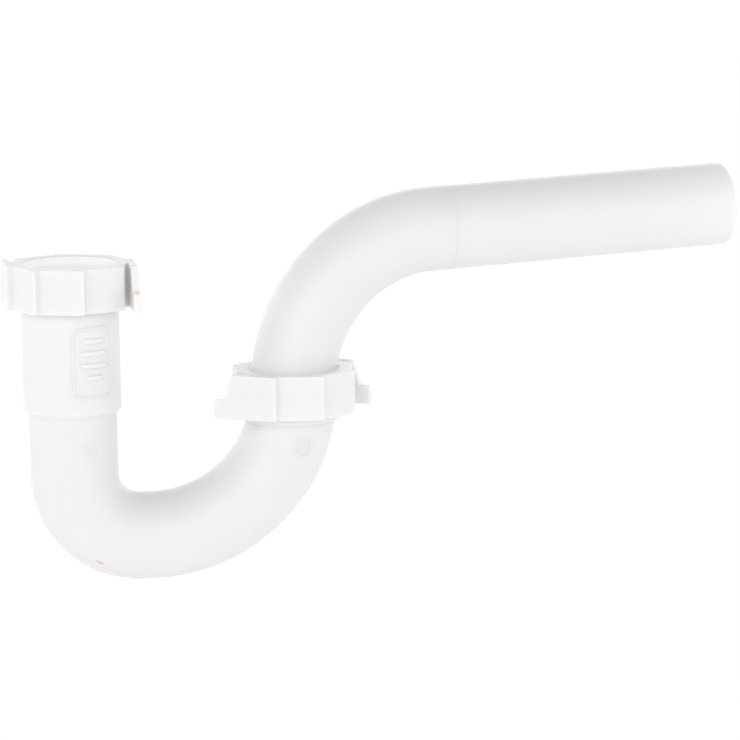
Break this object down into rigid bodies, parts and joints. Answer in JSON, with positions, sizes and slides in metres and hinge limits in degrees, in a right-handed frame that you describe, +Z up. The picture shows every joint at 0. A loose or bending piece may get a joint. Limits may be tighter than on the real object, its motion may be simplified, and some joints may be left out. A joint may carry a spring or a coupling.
{
  "type": "p trap",
  "caption": "White plastic drain trap: a J-shaped bend that holds a water seal, with a slip nut and washer at each end and a swivelling arm that runs to the wall.",
  "frame": {"origin": "centre of the inlet socket's rim, on the axis of the tailpiece", "axes": "+Z up along the inlet axis, out of the socket; +X from the inlet leg to the outlet leg, in the plane of the bend; +Y towards the side the trap arm is swung to at rest"},
  "size_m": [0.3403, 0.0911, 0.1753],
  "materials": {
    "bend_plastic": "white moulded polypropylene, satin, faint flow and mould marks",
    "arm_plastic": "white extruded tube, smooth satin",
    "nut_plastic": "white moulded polypropylene, satin, fine texture",
    "washer_plastic": "natural soft polyethylene, slightly cloudy"
  },
  "bodies": {
    "trap_bend": {"trap_bend": "bend_plastic"},
    "inlet_slip_washer": {"inlet_slip_washer": "washer_plastic"},
    "inlet_slip_nut": {"inlet_slip_nut": "nut_plastic"},
    "outlet_slip_washer": {"outlet_slip_washer": "washer_plastic"},
    "outlet_slip_nut": {"outlet_slip_nut": "nut_plastic"},
    "trap_arm": {"trap_arm": "arm_plastic"}
  },
  "joints": [
    {"name": "inlet_washer_rise", "type": "slide", "parent": "trap_bend", "child": "inlet_slip_washer", "axis": [0, 0, 1], "range_m": [0, 0.0128]},
    {"name": "inlet_nut_turn", "type": "hinge", "parent": "inlet_slip_washer", "child": "inlet_slip_nut", "pos_m": [0, 0, 0], "axis": [0, 0, 1], "range_deg": [0, 1440]},
    {"name": "outlet_washer_rise", "type": "slide", "parent": "trap_bend", "child": "outlet_slip_washer", "axis": [0, 0, 1], "range_m": [0, 0.0128]},
    {"name": "outlet_nut_turn", "type": "hinge", "parent": "outlet_slip_washer", "child": "outlet_slip_nut", "pos_m": [0.0995, 0, -0.0511], "axis": [0, 0, 1], "range_deg": [0, 1440]},
    {"name": "trap_arm_swivel", "type": "hinge", "parent": "outlet_slip_washer", "child": "trap_arm", "pos_m": [0.0995, 0, -0.0511], "axis": [0, 0, 1], "range_deg": [-150, 126]}
  ],
  "couplings": [
    {"joint": "inlet_washer_rise", "follows": "inlet_nut_turn", "m_per_rad": 0.0005093},
    {"joint": "outlet_washer_rise", "follows": "outlet_nut_turn", "m_per_rad": 0.0005093}
  ]
}
